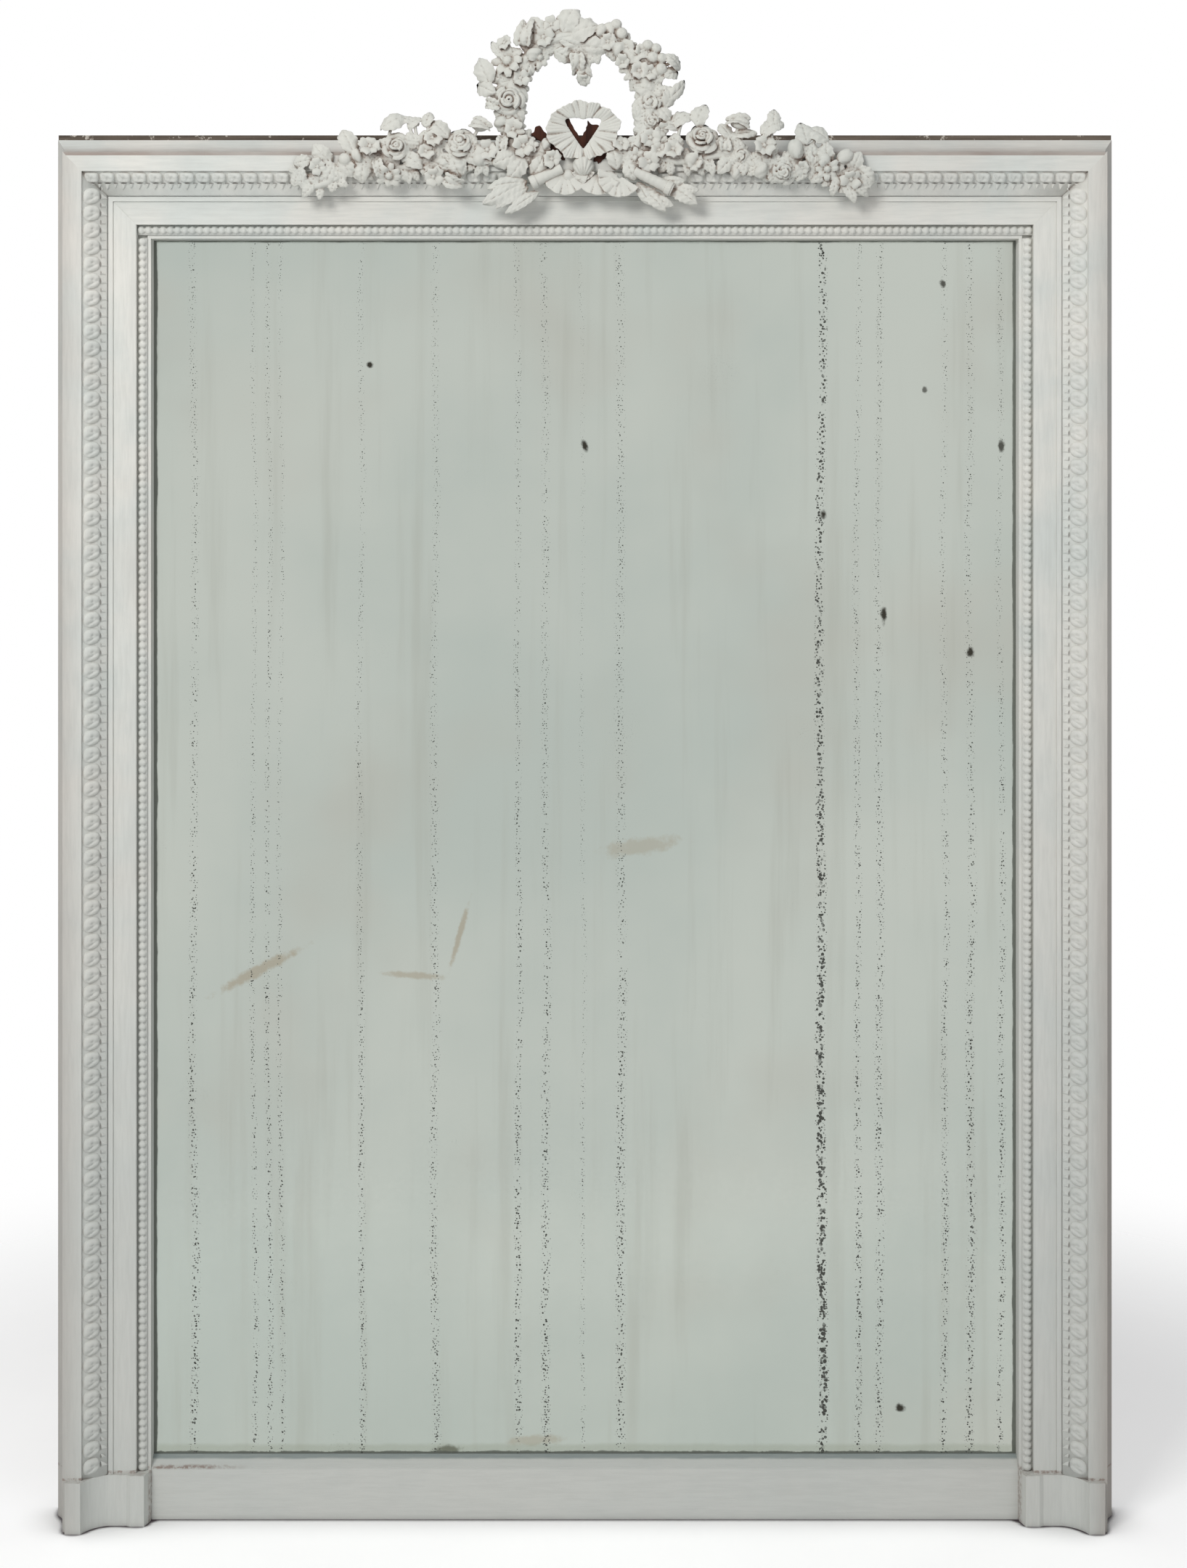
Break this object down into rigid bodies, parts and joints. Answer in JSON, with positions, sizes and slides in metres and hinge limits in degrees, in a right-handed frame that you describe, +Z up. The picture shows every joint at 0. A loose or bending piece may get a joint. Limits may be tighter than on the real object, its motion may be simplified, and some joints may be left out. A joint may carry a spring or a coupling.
{
  "type": "trumeau mirror",
  "caption": "Painted overmantel mirror with moulded frame, carved floral wreath crest, old mirror plate and hanging rings.",
  "frame": {"origin": "middle of the bottom rail's underside, on the surface that the mirror stands on", "axes": "+Z up, -Y out of the mirror's face towards the viewer, +X to the viewer's right"},
  "size_m": [1.3, 0.1087, 1.8466],
  "materials": {
    "painted_wood": "chalky matt grey-white paint over gesso, worn at edges",
    "painted_cast_ornament": "cast ornament under the same matt paint, dirt in the hollows",
    "painted_carving": "carved limewood under thick matt paint",
    "worn_lip_paint": "thin bluish white paint, worn, brown dirt at the joint",
    "bare_dark_wood": "old rough-sawn wood with flecks of paint",
    "bare_pine": "aged planed pine, unfinished",
    "beech_dowel": "turned beech, unfinished",
    "mirror_plate": "old plate, greenish grey, specked and cloudy",
    "tin_silvering": "dull tin and mercury layer, seen from behind",
    "wrought_iron": "forged iron, dark with slight rust",
    "screw_steel": "dulled steel"
  },
  "bodies": {
    "frame": {"back_board_1": "bare_pine", "back_board_2": "bare_pine", "back_board_3": "bare_pine", "back_board_4": "bare_pine", "back_board_5": "bare_pine", "board_screws": "screw_steel", "bottom_lip": "worn_lip_paint", "bottom_rail": "painted_wood", "bow_fan": "painted_carving", "bow_knot": "painted_carving", "bow_loop_left": "painted_carving", "bow_loop_right": "painted_carving", "cap_board": "bare_dark_wood", "cove_left": "painted_wood", "cove_right": "painted_wood", "cove_top": "painted_wood", "crest_dowels": "beech_dowel", "frame_dowels": "beech_dowel", "garland_left": "painted_carving", "garland_right": "painted_carving", "glazing_wedges": "bare_pine", "hanger_plate_left": "wrought_iron", "hanger_plate_right": "wrought_iron", "hanger_screws": "screw_steel", "leaf_moulding_left": "painted_cast_ornament", "leaf_moulding_right": "painted_cast_ornament", "leaf_moulding_top": "painted_cast_ornament", "mirror_glass": "mirror_plate", "pearls_left": "painted_cast_ornament", "pearls_right": "painted_cast_ornament", "pearls_top": "painted_cast_ornament", "plinth_left": "painted_wood", "plinth_right": "painted_wood", "quiver": "painted_carving", "setting_blocks": "bare_pine", "sight_fillet_left": "painted_wood", "sight_fillet_right": "painted_wood", "sight_fillet_top": "painted_wood", "silvering": "tin_silvering", "stile_left": "painted_wood", "stile_right": "painted_wood", "top_rail": "painted_wood", "torch": "painted_carving", "wreath_left": "painted_carving", "wreath_right": "painted_carving"},
    "ring_left": {"ring_left": "wrought_iron"},
    "ring_right": {"ring_right": "wrought_iron"}
  },
  "joints": [
    {"name": "ring_left_swing", "type": "hinge", "parent": "frame", "child": "ring_left", "pos_m": [-0.625, 0.0241, 1.45], "axis": [1, 0, 0], "range_deg": [0, 170]},
    {"name": "ring_right_swing", "type": "hinge", "parent": "frame", "child": "ring_right", "pos_m": [0.625, 0.0241, 1.45], "axis": [1, 0, 0], "range_deg": [0, 170]}
  ]
}
